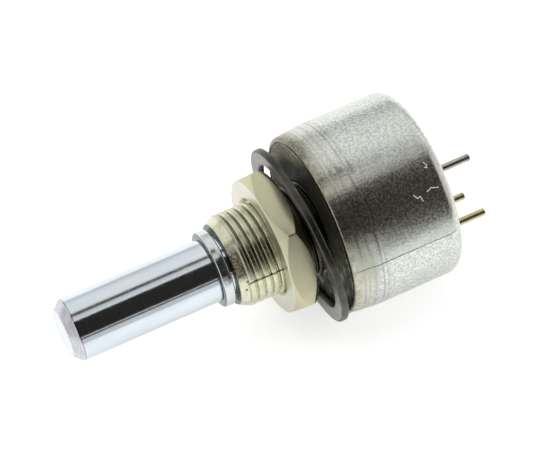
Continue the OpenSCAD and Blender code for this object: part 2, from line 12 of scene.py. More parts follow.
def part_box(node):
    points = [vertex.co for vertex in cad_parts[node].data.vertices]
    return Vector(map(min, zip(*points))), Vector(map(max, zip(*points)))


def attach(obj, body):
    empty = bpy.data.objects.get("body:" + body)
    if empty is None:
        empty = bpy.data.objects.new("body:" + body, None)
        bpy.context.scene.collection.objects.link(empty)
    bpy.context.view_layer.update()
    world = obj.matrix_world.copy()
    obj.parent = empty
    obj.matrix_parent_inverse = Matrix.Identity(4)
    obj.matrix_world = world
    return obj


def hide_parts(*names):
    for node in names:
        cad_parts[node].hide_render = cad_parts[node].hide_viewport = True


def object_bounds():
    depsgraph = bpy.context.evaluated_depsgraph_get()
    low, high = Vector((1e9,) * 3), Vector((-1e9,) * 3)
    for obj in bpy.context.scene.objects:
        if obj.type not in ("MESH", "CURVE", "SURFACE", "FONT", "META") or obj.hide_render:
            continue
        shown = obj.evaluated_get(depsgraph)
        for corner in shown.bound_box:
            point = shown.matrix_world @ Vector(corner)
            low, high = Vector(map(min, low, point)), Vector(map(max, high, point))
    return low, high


bl_info = {
    "name": "Rotary potentiometer",
    "version": (1, 0, 0),
    "blender": (4, 5, 0),
    "location": "View3D > Sidebar > Potentiometer",
    "description": "Models the pieces of a panel potentiometer, their finishes and a studio",
    "category": "Object",
}

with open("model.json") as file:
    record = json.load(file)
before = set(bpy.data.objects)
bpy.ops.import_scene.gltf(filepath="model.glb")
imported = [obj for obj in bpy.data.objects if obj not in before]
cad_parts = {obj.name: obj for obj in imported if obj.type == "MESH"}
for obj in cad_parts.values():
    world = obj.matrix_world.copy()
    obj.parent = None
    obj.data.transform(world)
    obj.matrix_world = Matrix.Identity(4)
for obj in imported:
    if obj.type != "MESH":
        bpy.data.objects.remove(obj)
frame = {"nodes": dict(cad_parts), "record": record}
CAD_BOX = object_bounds()

MM = 0.001
DOUBLES = 0.0008 * MM
SHAFT_LOW, SHAFT_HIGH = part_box("shaft")
RING_LOW, RING_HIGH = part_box("retaining_ring")
BUSH_LOW, BUSH_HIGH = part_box("bushing")
NUT_LOW, NUT_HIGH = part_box("hex_nut")
CAN_LOW, CAN_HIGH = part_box("can")
PLATE_LOW, PLATE_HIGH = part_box("front_plate")
PIN_PLACES = {}
for pin_name in ("end_pin_1", "end_pin_3", "wiper_pin_2"):
    low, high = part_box(pin_name)
    PIN_PLACES[pin_name] = ((low.x + high.x) / 2, low.y, high.y, (low.z + high.z) / 2)

# Directions about the shaft, from +Z towards +X
NUT_CORNER = math.radians(28.7)
RING_OPENING = math.radians(210)
FIRST_TOOTH = math.radians(-61.3)
WASHER_LEAN = math.radians(-12.3)
CAN_MARK = math.radians(66.8)

# The bush: groove before the crest's place in the pitch, flank of the thread as shares of
# pitch and depth, end of the smooth land, mark across the bush, two spots in mm, its flange
GROOVE_PHASE = 0.33
THREAD_RISE = ((0.0, 0.0), (0.04, 0.03), (0.09, 0.2), (0.19, 0.82), (0.22, 0.92), (0.26, 0.98), (0.31, 1.0))
LAND_END = -8.5 * MM
BUSH_MARK = 2.69 * MM
BUSH_SPOTS = ((-8.72, 2.42), (-8.95, 3.1))
FLANGE = 1.2 * MM

# Stations along a tooth of the lock washer, from its root to its tip
TOOTH_STATIONS = (0.03, 0.07, 0.12, 0.19, 0.3, 0.42, 0.54, 0.66, 0.78, 0.9, 0.96, 1.0)

# The can's front in mm: its taper as (place, drop), and its rings as (place, half width, depth)
CAN_TAPER = (
    *((0.62, 0.27), (1.0, 0.21), (1.3, 0.17), (1.42, 0.19), (1.54, 0.16), (1.8, 0.13), (2.1, 0.1)),
    *((2.22, 0.11), (2.4, 0.07), (2.8, 0.035), (3.15, 0.02), (3.25, 0.03), (3.4, 0.01), (3.8, 0)),
)
CAN_RINGS = ((1.16, 0.16, 0.7), (1.62, 0.12, 0.5), (2.25, 0.2, 0.5), (3.1, 0.14, 0.65), (3.55, 0.22, 0.35))

# Scratches on the can, bright or dark, as points of y in mm and degrees about the shaft
CAN_SCRATCHES = (
    (True, ((7.95, 35.5), (8.2, 38), (8.5, 37.4), (8.62, 40.5))),
    (True, ((10.1, 20.5), (10.28, 22.3), (10.2, 24), (10.02, 23.4))),
    (True, ((9.3, 36.6), (9.8, 35.4), (10.5, 36.8))),
    (False, ((8.1, 52.5), (8.32, 51), (8.75, 50.2))),
)

# Thin dark lines in the studio's light: direction and half width in degrees, and depth
STUDIO_LINES = ((71.6, 4.4, 0.97), (-16.8, 9.0, 0.9), (-15, 18, 0.2), (-79.3, 2.4, 0.4))


# Modelling by hand


def deselect():
    """Leaves edit mode and selects nothing."""
    if bpy.context.object and bpy.context.object.mode != "OBJECT":
        bpy.ops.object.mode_set(mode="OBJECT")
    bpy.ops.object.select_all(action="DESELECT")


def pick(piece):
    """Selects one piece alone and makes it active."""
    deselect()
    piece.select_set(True)
    bpy.context.view_layer.objects.active = piece


def edit_all():
    """Enters edit mode with the whole mesh selected."""
    bpy.ops.object.mode_set(mode="EDIT")
    bpy.ops.mesh.select_all(action="SELECT")


def merge(threshold=DOUBLES):
    """Merges the doubles of the whole mesh and leaves it selected."""
    bpy.ops.mesh.select_all(action="SELECT")
    bpy.ops.mesh.remove_doubles(threshold=threshold)


def clean(threshold=DOUBLES):
    """Merges doubles, turns the faces outwards and leaves edit mode."""
    merge(threshold)
    bpy.ops.mesh.normals_make_consistent(inside=False)
    bpy.ops.object.mode_set(mode="OBJECT")


def start_vertex(name, place):
    """A new piece with one vertex, in edit mode."""
    deselect()
    bpy.ops.mesh.primitive_plane_add(size=MM)
    piece = bpy.context.object
    piece.name = piece.data.name = name
    edit_all()
    bpy.ops.mesh.merge(type="CENTER")
    bpy.ops.transform.translate(value=place)
    return piece


def draw_section(name, points, closed=True):
    """Draws a half section in the XY plane, vertex by vertex, from (radius, y) points."""
    places = [Vector((r, y, 0)) for r, y in points]
    piece = start_vertex(name, places[0])
    steps = places[1:] + places[:1] if closed else places[1:]
    last = places[0]
    for place in steps:
        bpy.ops.mesh.extrude_vertices_move(TRANSFORM_OT_translate={"value": place - last})
        last = place
    merge()
    return piece


def turn(name, points, steps=192, solid=False):
    """A turned piece: the half section, down to the axis if solid, spun once round it."""
    if solid:
        points = [(0, points[0][1]), *points, (0, points[-1][1])]
    draw_section(name, points)
    bpy.ops.mesh.spin(steps=steps, angle=2 * math.pi, center=(0, 0, 0), axis=(0, 1, 0))
    merge()
    bpy.ops.mesh.delete_loose()
    clean()
    return bpy.context.object


def arc(centre_r, centre_y, radius, start, end, count=14):
    """Points of an arc in a half section, by angles in degrees from +r towards +y."""
    points = []
    for i in range(count + 1):
        angle = math.radians(start + (end - start) * i / count)
        points.append((centre_r + radius * math.cos(angle), centre_y + radius * math.sin(angle)))
    return points


def select_edges(piece, wanted):
    """Selects the edges whose two ends pass the test, in edit mode."""
    if bpy.context.object.mode != "EDIT":
        bpy.ops.object.mode_set(mode="EDIT")
    bpy.ops.mesh.select_mode(type="EDGE")
    bpy.ops.mesh.select_all(action="DESELECT")
    bpy.ops.object.mode_set(mode="OBJECT")
    for edge in piece.data.edges:
        edge.select = wanted(*(piece.data.vertices[i].co for i in edge.vertices))
    bpy.ops.object.mode_set(mode="EDIT")


def apply_modifier(piece, kind, **settings):
    """Adds a modifier with these settings and applies it."""
    pick(piece)
    modifier = piece.modifiers.new(kind.title(), kind)
    for key, value in settings.items():
        setattr(modifier, key, value)
    bpy.ops.object.modifier_apply(modifier=modifier.name)


def combine(piece, tool, operation):
    """Cuts, joins or keeps the common part of two closed pieces, and removes the tool."""
    apply_modifier(piece, "BOOLEAN", object=tool, operation=operation, solver="EXACT")
    bpy.data.objects.remove(tool)
    edit_all()
    clean()


def round_edges(piece, width, segments=2, angle=30):
    """A small round on every edge sharper than the angle."""
    limit = math.radians(angle)
    apply_modifier(piece, "BEVEL", width=width, segments=segments, limit_method="ANGLE", angle_limit=limit)


def smooth(piece, angle=32):
    """Smooth shading with sharp edges kept above the angle."""
    pick(piece)
    bpy.ops.object.shade_smooth_by_angle(angle=math.radians(angle))


def place(piece, location=(0, 0, 0), rotation=(0, 0, 0)):
    """Moves and turns a piece and puts the move into its mesh."""
    pick(piece)
    piece.location = location
    piece.rotation_euler = rotation
    bpy.ops.object.transform_apply(location=True, rotation=True, scale=True)


def stand_for(piece, node, body, material, angle=32):
    """Gives a finished piece its shading, its material and its body, and hides the solid it stands for."""
    smooth(piece, angle)
    piece.data.materials.clear()
    piece.data.materials.append(material)
    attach(piece, body)
    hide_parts(node)


# Materials


def tinted(colour, *shares):
    """A colour with its channels multiplied by one share, or by one for each."""
    return [min(1, c * share) for c, share in zip(colour, shares * (3 // len(shares)))]


class Nodes:
    """A node tree, and short words for the nodes that fill it."""

    def __init__(self, tree):
        self.tree = tree

    def add(self, kind):
        return self.tree.nodes.new("ShaderNode" + kind)

    def feed(self, socket, value):
        """Links an output to an input, or sets the input's own value."""
        if isinstance(value, bpy.types.NodeSocket):
            self.tree.links.new(value, socket)
        else:
            socket.default_value = value

    def split(self, vector):
        """The X, Y and Z of a vector."""
        node = self.add("SeparateXYZ")
        self.feed(node.inputs[0], vector)
        return node.outputs

    def calc(self, operation, a, b=0.0, c=0.0):
        """A Math node."""
        node = self.add("Math")
        node.operation = operation
        self.feed(node.inputs[0], a)
        self.feed(node.inputs[1], b)
        if operation == "MULTIPLY_ADD":
            self.feed(node.inputs[2], c)
        return node.outputs[0]

    def chain(self, operation, values):
        """One operation over several values, from the first to the last."""
        result = values[0]
        for value in values[1:]:
            result = self.calc(operation, result, value)
        return result

    def times(self, *values):
        return self.chain("MULTIPLY", values)

    def plus(self, *values):
        return self.chain("ADD", values)

    def less(self, *values):
        return self.chain("SUBTRACT", values)

    def most(self, *values):
        return self.chain("MAXIMUM", values)

    def rest(self, share):
        """What is left of 1."""
        return self.less(1.0, share)

    def apart(self, value, place):
        """Distance of a value from a place, without a sign."""
        return self.calc("ABSOLUTE", self.less(value, place))

    def between(self, value, low, high, out_low=0.0, out_high=1.0):
        """Runs a value from low to high softly over the output's range."""
        node = self.add("MapRange")
        node.interpolation_type = "SMOOTHSTEP"
        self.feed(node.inputs["Value"], value)
        node.inputs["From Min"].default_value = low
        node.inputs["From Max"].default_value = high
        node.inputs["To Min"].default_value = out_low
        node.inputs["To Max"].default_value = out_high
        return node.outputs["Result"]

    def until(self, value, low, high):
        """1 below the low value, falling to 0 at the high one."""
        return self.between(value, low, high, 1, 0)

    def line(self, value, place, half):
        """1 where the value is at the place, fading to 0 at half a width."""
        return self.until(self.apart(value, place), half * 0.35, half)

    def blend(self, share, a, b):
        """Mixes two colours."""
        node = self.add("Mix")
        node.data_type = "RGBA"
        self.feed(node.inputs["Factor"], share)
        for socket, colour in (("A", a), ("B", b)):
            value = colour if isinstance(colour, bpy.types.NodeSocket) else (*colour, 1)
            self.feed([s for s in node.inputs if s.name == socket and s.type == "RGBA"][0], value)
        return [s for s in node.outputs if s.type == "RGBA"][0]


class Finish(Nodes):
    """One material in object space: a base, coats laid over it, relief and roughness."""

    def __init__(self, name, colour, metallic, roughness, **fixed):
        self.material = bpy.data.materials.new(name)
        self.material.use_nodes = True
        super().__init__(self.material.node_tree)
        self.shader = self.tree.nodes["Principled BSDF"]
        self.shader.inputs["Base Color"].default_value = (*colour, 1)
        self.shader.inputs["Metallic"].default_value = metallic
        self.shader.inputs["Roughness"].default_value = roughness
        for socket, value in fixed.items():
            self.shader.inputs[socket.replace("_", " ")].default_value = value
        self.place = self.add("TexCoord").outputs["Object"]
        self.x, self.y, self.z = self.split(self.place)
        self.own = self.tone = colour
        self.normal = None

    def radius(self, centre=(0, 0, 0)):
        """Distance from the shaft's axis, or from another axis beside it."""
        x, z = self.less(self.x, centre[0]), self.less(self.z, centre[2])
        return self.calc("SQRT", self.plus(self.times(x, x), self.times(z, z)))

    def around(self):
        """Direction about the shaft, from +Z towards +X."""
        return self.calc("ARCTAN2", self.x, self.z)

    def across(self, centre=(0, 0, 0)):
        """Distance to the lower side of the nut's near corner, from a centre."""
        x, z = self.less(self.x, centre[0]), self.less(self.z, centre[2])
        return self.less(self.times(x, math.cos(NUT_CORNER)), self.times(z, math.sin(NUT_CORNER)))

    def behind(self, start, low, high, *out):
        """Rises along the shaft between two distances in mm behind a start."""
        return self.between(self.y, start + low * MM, start + high * MM, *out)

    def before(self, start, low, high):
        """1 in front, falling to 0 between two distances in mm behind a start."""
        return self.behind(start, low, high, 1, 0)

    def noise(self, size, detail=3.0, stretch=(1, 1, 1), rough=0.5, shift=0.0, twist=0.0):
        """Noise from 0 to 1 with spots of this size in mm."""
        mapping = self.add("Mapping")
        mapping.inputs["Scale"].default_value = [1 / (size * MM * s) for s in stretch]
        mapping.inputs["Location"].default_value = (shift, shift * 0.7, shift * 1.3)
        self.feed(mapping.inputs["Vector"], self.place)
        node = self.add("TexNoise")
        for socket, value in (("Scale", 1), ("Detail", detail), ("Roughness", rough), ("Distortion", twist)):
            node.inputs[socket].default_value = value
        self.feed(node.inputs["Vector"], mapping.outputs[0])
        return node.outputs["Fac"]

    def scratch(self, start, end, half):
        """A short straight scratch on the can between two (y in mm, degrees) points."""
        u0, v0 = start[0] * MM, math.radians(start[1]) * CAN_HIGH.x
        u1, v1 = end[0] * MM, math.radians(end[1]) * CAN_HIGH.x
        size = math.hypot(u1 - u0, v1 - v0)
        du, dv = (u1 - u0) / size, (v1 - v0) / size
        u = self.less(self.y, u0)
        v = self.calc("MULTIPLY_ADD", self.around(), CAN_HIGH.x, -v0)
        run = self.plus(self.times(u, du), self.times(v, dv))
        off = self.less(self.times(u, dv), self.times(v, du))
        side = self.until(self.calc("ABSOLUTE", off), half * 0.3, half)
        return self.times(side, self.between(self.line(run, size / 2, size / 2 + half), 0, 0.05))

    def edges(self, width):
        """1 along the piece's rounded edges, from the bend between two kinds of normal."""
        bevel, dot = self.add("Bevel"), self.add("VectorMath")
        bevel.inputs["Radius"].default_value = width
        dot.operation = "DOT_PRODUCT"
        self.feed(dot.inputs[0], bevel.outputs[0])
        self.feed(dot.inputs[1], self.add("NewGeometry").outputs["Normal"])
        return self.until(dot.outputs["Value"], 0.94, 0.995)

    def shade(self, *shares):
        """The material's own colour multiplied by one share or by three."""
        return tinted(self.own, *shares)

    def base(self, share, a, b):
        """Starts the tone as a mix of two colours."""
        self.tone = self.blend(share, a, b)

    def coat(self, colour, *shares):
        """Lays a colour over the tone so far, as thick as the product of the shares."""
        self.tone = self.blend(self.times(*shares), self.tone, colour)

    def relief(self, height, depth):
        """Adds surface relief of this depth in mm to what the shader has."""
        bump = self.add("Bump")
        bump.inputs["Strength"].default_value = 1
        bump.inputs["Distance"].default_value = depth * MM
        self.feed(bump.inputs["Height"], height)
        if self.normal is not None:
            self.feed(bump.inputs["Normal"], self.normal)
        self.normal = bump.outputs[0]
        self.feed(self.shader.inputs["Normal"], self.normal)

    def done(self, roughness, metallic=None):
        """Feeds the shader with the tone and the gloss, and returns the material."""
        self.feed(self.shader.inputs["Base Color"], self.tone)
        self.feed(self.shader.inputs["Roughness"], roughness)
        if metallic is not None:
            self.feed(self.shader.inputs["Metallic"], metallic)
        return self.material


def bright_shaft(name, colours):
    """Bright plated steel, drawn along its length, with a turned tip."""
    f = Finish(name, colours.shaft, 1.0, 0.12)
    front = SHAFT_LOW.y
    tip = f.before(front, 0.78, 0.95)
    bevel = f.behind(front, 0.03, 0.1)
    hatch = f.between(f.noise(0.1, 2, (12, 1, 12), shift=9), 0.3, 0.7, 0.35, 0.85)
    f.base(f.between(f.noise(2.2, 3, (1, 2.5, 1)), 0.35, 0.7), f.shade(0.93), f.own)
    f.coat((0.82, 0.86, 0.88), tip)
    f.coat((0.52, 0.5, 0.55), tip, bevel, hatch)
    f.coat(f.shade(0.25), f.line(f.y, front + 0.97 * MM, 0.09 * MM), 0.6)
    f.relief(f.noise(0.5, 3, (1, 5, 1), shift=1), 0.0022)
    rough = f.between(f.noise(0.18, 2, (1, 1.6, 1), shift=3), 0.35, 0.75, 0.09, 0.17)
    return f.done(f.calc("MULTIPLY_ADD", tip, 0.18, rough))


def spring_ring(name, colours):
    """Bright plated spring wire, with painted shade on its front."""
    f = Finish(name, colours.ring, 1.0, 0.16)
    cloud = f.noise(0.5, 3)
    f.base(cloud, f.shade(0.8), f.own)
    # Painted shade along the ring's front edge, where it meets the bush
    f.coat(f.shade(0.08), f.before(RING_LOW.y, 0.01, 0.07), 0.85)
    f.relief(f.noise(0.22, 3), 0.003)
    return f.done(f.between(cloud, 0.3, 0.7, 0.12, 0.24))


def dull_nickel(name, colours, sizes):
    """Nickel plate over turned brass: painted highlights along the crests' edges, painted shade on the flats
    and in the roots.
    """
    f = Finish(name, colours.bush, 1.0, 0.26)
    across, near = f.across(), f.between(f.z, 0.0, 1.0 * MM)
    cloud, grit = f.noise(0.9, 4, (1, 0.6, 1)), f.noise(0.14, 3, shift=5)
    f.base(f.between(cloud, 0.32, 0.68), f.shade(0.82), f.own)
    f.coat(f.shade(0.45, 0.45, 0.38), f.between(grit, 0.5, 0.72, 0, 0.35))

    # Place in the pitch, from 0 to 1, counted along the helix
    turned = f.calc("DIVIDE", f.less(f.around(), NUT_CORNER), 2 * math.pi)
    phase = f.calc("DIVIDE", f.less(f.y, sizes.thread_place), sizes.pitch)
    phase = f.calc("FRACT", f.plus(f.less(phase, turned), GROOVE_PHASE + 8))
    # Painted shade on the crests' flats and, deeper, in the grooves, which leaves painted highlights along the
    # crests' edges; the lower side, painted as lit, is left nearly bright
    edge = f.most(f.line(phase, 0.27, 0.11), f.times(f.line(phase, 0.73, 0.1), 0.8))
    groove = f.most(f.until(phase, 0.06, 0.2), f.between(phase, 0.8, 0.94))
    land = f.until(f.y, LAND_END - 0.25 * MM, LAND_END)
    lower = f.between(across, 1.3 * MM, 2.5 * MM)
    thread = f.times(f.rest(land), f.calc("MULTIPLY_ADD", lower, -0.85, 1.0))
    f.coat(f.shade(0.3, 0.3, 0.26), f.rest(edge), f.calc("MULTIPLY_ADD", groove, 0.4, 0.38), thread)

    # Painted reflection of the dark band, broken by speckle, on the smooth land, and painted shade at the ends
    # Painted reflection of the dark band on the near side of the land, broken by a speckle
    painted_band_speckle = f.between(f.noise(0.2, 4, shift=12), 0.36, 0.56, 0.45, 1)
    band = f.times(f.between(across, -1.6 * MM, -0.4 * MM), f.until(across, 1.6 * MM, 2.4 * MM))
    f.coat(f.shade(0.1, 0.085, 0.06), land, band, near, painted_band_speckle, 0.93)
    # Painted shade on the front end, next to the ring, and on the thread behind the nut
    front = f.before(BUSH_LOW.y, 0.02, 0.1)
    f.coat(f.shade(0.05), f.most(front, f.between(f.y, NUT_HIGH.y - 0.05 * MM, NUT_HIGH.y + 0.25 * MM)), 0.9)

    # A fine mark along the bush, and two spots
    reach = f.between(f.y, LAND_END - 0.2 * MM, LAND_END)
    reach = f.times(reach, f.before(NUT_LOW.y, 0.25, 0.45))
    wave = f.calc("MULTIPLY_ADD", cloud, 0.25 * MM, -0.12 * MM)
    mark = f.times(f.line(f.plus(across, wave), BUSH_MARK, 0.14 * MM), reach, near)
    for y, off in BUSH_SPOTS:
        spot = f.most(f.apart(f.y, y * MM), f.apart(across, off * MM))
        mark = f.most(mark, f.times(f.until(spot, 0.05 * MM, 0.15 * MM), near))
    f.coat(f.shade(0.1, 0.12, 0.07), mark, 0.88)
    f.relief(grit, 0.005)
    f.relief(f.noise(0.5, 3, (1, 0.4, 1), shift=8), 0.012)
    return f.done(f.between(cloud, 0.3, 0.75, 0.2, 0.34))


def satin_nickel(name, colours):
    """Satin champagne plate with a fine blasted grain, and a painted highlight on the front face."""
    f = Finish(name, colours.nut, 1.0, 0.34)
    cloud, grain = f.noise(2.4, 3), f.noise(0.12, 2)
    f.base(f.between(cloud, 0.3, 0.7), f.shade(0.92), f.own)
    f.coat(f.shade(0.7), f.between(grain, 0.45, 0.75, 0, 0.2))
    # Painted highlight: the front face is paler, standing in for its reflection of the bright floor
    f.coat((0.8, 0.78, 0.68), f.before(NUT_LOW.y, 0.02, 0.06))
    f.relief(grain, 0.004)
    return f.done(f.between(cloud, 0.3, 0.7, 0.3, 0.4))


def black_oxide(name, colours):
    """Black oxide on stamped spring steel: painted highlights on the faces and teeth, painted shade on the
    outer wall, edges rubbed paler and painted bright.
    """
    f = Finish(name, colours.washer, 1.0, 0.36)
    cloud = f.noise(1.1, 4)
    f.base(f.between(cloud, 0.3, 0.72), f.shade(0.6), f.own)
    low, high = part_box("lock_washer")
    centre = (low + high) / 2
    across, face = f.across(centre), f.until(f.radius(centre), 8.98 * MM, 9.12 * MM)
    upper = f.between(across, -4.6 * MM, -7.4 * MM)
    lower = f.between(across, 5.4 * MM, 8.2 * MM)
    # Painted highlights on the faces at the top and, stronger, at the bottom; painted shade on the outer wall
    # at the top
    f.coat(f.shade(2.1), face, upper)
    f.coat(f.shade(3.4), face, lower, f.between(cloud, 0.3, 0.6, 0.65, 1))
    f.coat(f.shade(0.35), f.rest(face), upper, 0.8)
    # Paler rounded edges, partly rubbed bare and partly painted highlight, more so towards the top and bottom
    edge = f.times(f.edges(0.16 * MM), f.between(f.noise(0.5, 3, shift=4), 0.35, 0.6, 0.25, 1))
    ends = f.between(f.calc("ABSOLUTE", across), 3 * MM, 6 * MM, 0.5, 0.85)
    f.coat((0.42, 0.41, 0.38), edge, ends)
    # Painted reflection: pale patches on the teeth near their tips
    teeth = f.until(f.radius(), 5.7 * MM, 6.4 * MM)
    f.coat((0.5, 0.51, 0.46), teeth, f.between(f.noise(0.7, 3, shift=6), 0.36, 0.52), 0.8)
    f.relief(f.noise(0.12, 3), 0.004)
    return f.done(f.between(f.noise(0.25, 3, (6, 1, 1), shift=2), 0.3, 0.75, 0.28, 0.46))


def plated_can(name, colours):
    """Matt plate on drawn sheet: soft mottling, turned rings near the front, a seam and scratches, with painted
    shade and a painted warm tint.
    """
    f = Finish(name, colours.can, 1.0, 0.25)
    around = f.around()
    mottle, spots = f.noise(0.25, 2, rough=0.6), f.noise(0.75, 3, shift=7)
    f.base(f.between(mottle, 0.3, 0.7), f.shade(0.68), f.shade(1.17))
    f.coat(f.shade(0.66, 0.64, 0.62), f.between(spots, 0.45, 0.8, 0, 0.3))
    f.coat(f.shade(0.8, 0.84, 0.78), f.between(f.noise(2.6, 4, (1, 0.8, 1), shift=4), 0.4, 0.75, 0, 0.3))

    # Turned rings towards the front, and painted shade and a painted warm tint where the side reflects the dark
    # band
    brushed = f.noise(0.09, 3, (50, 1, 50), shift=1)
    front = f.before(0, 0.8, 4.6)
    f.coat(f.shade(0.5), f.between(brushed, 0.45, 0.7), front, 0.4)
    ragged = f.between(f.noise(1.3, 4, (1, 0.25, 1), shift=15), 0.3, 0.72, 0.45, 1)
    for place, width, depth in CAN_RINGS:
        f.coat(f.shade(0.36, 0.33, 0.28), f.line(f.y, place * MM, width * MM), ragged, depth)
    # Painted shade low on the camera's side near the front, and a painted warm tint across the reflected dark
    # band, both fixed to the direction about the shaft
    painted_shade_patch = f.times(f.between(around, 0.9, 1.15), f.before(0, 1.6, 3.6))
    f.coat(f.shade(0.42, 0.41, 0.35), painted_shade_patch, f.until(around, CAN_MARK - 0.02, CAN_MARK + 0.3), 0.8)
    f.coat(f.shade(0.98, 0.86, 0.82), f.between(around, 0.12, 0.4), f.until(around, 0.85, 1.05), 0.5)

    # Painted shade on the shoulder, on the rolled lip, mottled, and on the front edge, next to the washer
    f.coat(f.shade(0.76, 0.72, 0.62), f.before(0, 1.2, 3.4), 0.45)
    # Painted shade on the rolled lip, mottled by spots
    patchy_tone = f.blend(f.between(spots, 0.35, 0.65), f.shade(0.5, 0.47, 0.38), f.shade(0.86, 0.82, 0.68))
    f.coat(patchy_tone, f.before(0, 0.5, 1.1), 0.75)
    f.coat(f.shade(0.3, 0.28, 0.22), f.behind(0, 0.1, 0.3, 0.6, 0))
    # Painted shade, speckled, on the lip's upper side next to the washer
    top_lip_shade = f.times(f.before(0, 0.45, 1.5), f.until(around, -0.35, 0.2))
    shade_speckle = f.between(f.noise(0.32, 3, shift=13), 0.32, 0.6, 0.5, 1)
    f.coat(f.shade(0.16, 0.14, 0.1), top_lip_shade, shade_speckle, 0.8)

    # A fine seam along the can, with painted shade above it
    wall = f.between(f.radius(), 9.2 * MM, 9.3 * MM)
    inside = f.times(wall, f.before(0, 10.9, 11.3))
    seam = f.plus(around, f.calc("MULTIPLY_ADD", f.noise(1.6, 2, shift=9), 0.035, -0.0175))
    # Painted shade: a darker, greener strip above the seam, where the reflection turns from dark to bright
    above = f.times(f.until(seam, CAN_MARK - 0.006, CAN_MARK), f.between(seam, CAN_MARK - 0.5, CAN_MARK - 0.1))
    f.coat(f.shade(0.6, 0.66, 0.58), above, inside, 0.3)
    f.coat(f.shade(0.14), f.line(seam, CAN_MARK, 0.009), inside, f.between(spots, 0.3, 0.6, 0.45, 0.85))

    scratched = 0.0
    for bright, points in CAN_SCRATCHES:
        for start, end in zip(points, points[1:]):
            scratch = f.scratch(start, end, 0.06 * MM)
            f.coat((0.85, 0.83, 0.8) if bright else f.shade(0.2), scratch, 0.75)
            scratched = f.most(scratched, scratch)
    f.relief(mottle, 0.011)
    f.relief(f.times(brushed, front), 0.006)
    f.relief(f.noise(1.2, 2, (1, 1.6, 1), shift=6), 0.016)
    rough = f.calc("MULTIPLY_ADD", scratched, 0.5, f.between(mottle, 0.25, 0.75, 0.19, 0.31))
    return f.done(rough, f.calc("MULTIPLY_ADD", scratched, -0.85, 1.0))


def black_moulding(name, colours):
    """Greenish-black moulding with a faint flow pattern, a painted paler reflection and painted glints below,
    and a paler speckle at the top.
    """
    f = Finish(name, colours.plate, 0.0, 0.24, Specular_IOR_Level=0.02)
    flow, across = f.noise(1.6, 4, twist=1.2), f.across()
    f.base(flow, f.shade(0.7), f.shade(1.5))
    # Painted reflection: the lower side is paler and greener, broken by the flow pattern
    lower = f.between(f.less(f.x, f.z), -2 * MM, 3 * MM)
    f.coat((0.15, 0.155, 0.11), lower, f.between(flow, 0.4, 0.6, 0.3, 1))
    # Painted glints, in patches low on the face
    glints = f.times(f.between(across, 3.4 * MM, 4.8 * MM), f.between(across, 7.9 * MM, 7.2 * MM))
    f.coat((0.5, 0.52, 0.4), glints, f.between(f.noise(0.9, 4, shift=21), 0.5, 0.66), 0.8)
    # A paler speckle towards the top of the face, near its rim
    patchy_tone = f.times(f.between(across, -4.9 * MM, -7.2 * MM), f.between(f.radius(), 6.6 * MM, 7.8 * MM))
    f.coat((0.42, 0.39, 0.31), patchy_tone, f.between(f.noise(0.3, 3, shift=17), 0.3, 0.62, 0.3, 1))
    f.relief(f.noise(0.5, 2), 0.005)
    return f.done(f.between(flow, 0.3, 0.7, 0.26, 0.42))


def wire(name, colour):
    """Plated round wire with dull, darker ends."""
    f = Finish(name, colour, 1.0, 0.25)
    ends = f.behind(0, 15.6, 16.2)
    cloud = f.noise(0.3, 3, (1, 3, 1))
    f.coat(f.shade(0.35), f.calc("MULTIPLY_ADD", ends, 0.4, f.between(cloud, 0.3, 0.8, 0, 0.3)))
    f.relief(cloud, 0.004)
    return f.done(f.between(cloud, 0.3, 0.7, 0.18, 0.34))


def plain(name, colour, metallic, roughness, size=0.4, variation=0.2):
    """A plain finish with a fine grain, for beads and the pieces inside the can."""
    f = Finish(name, colour, metallic, roughness)
    grain = f.noise(size, 3)
    f.base(grain, f.shade(1 - variation), f.shade(1 + variation))
    f.relief(grain, 0.004)
    return f.done(f.between(grain, 0.3, 0.7, roughness * 0.85, min(1, roughness * 1.2)))


# Sizes and colours


def length(name, description, value):
    return FloatProperty(name=name, description=description, default=value * MM, unit="LENGTH", precision=5)


def angle(name, description, value):
    return FloatProperty(name=name, description=description, default=math.radians(value), unit="ROTATION")


def strength(name, description, value):
    return FloatProperty(name=name, description=description, default=value, min=0)


def tint(name, description, value):
    return FloatVectorProperty(name=name, description=description, default=value, subtype="COLOR", min=0, max=1)


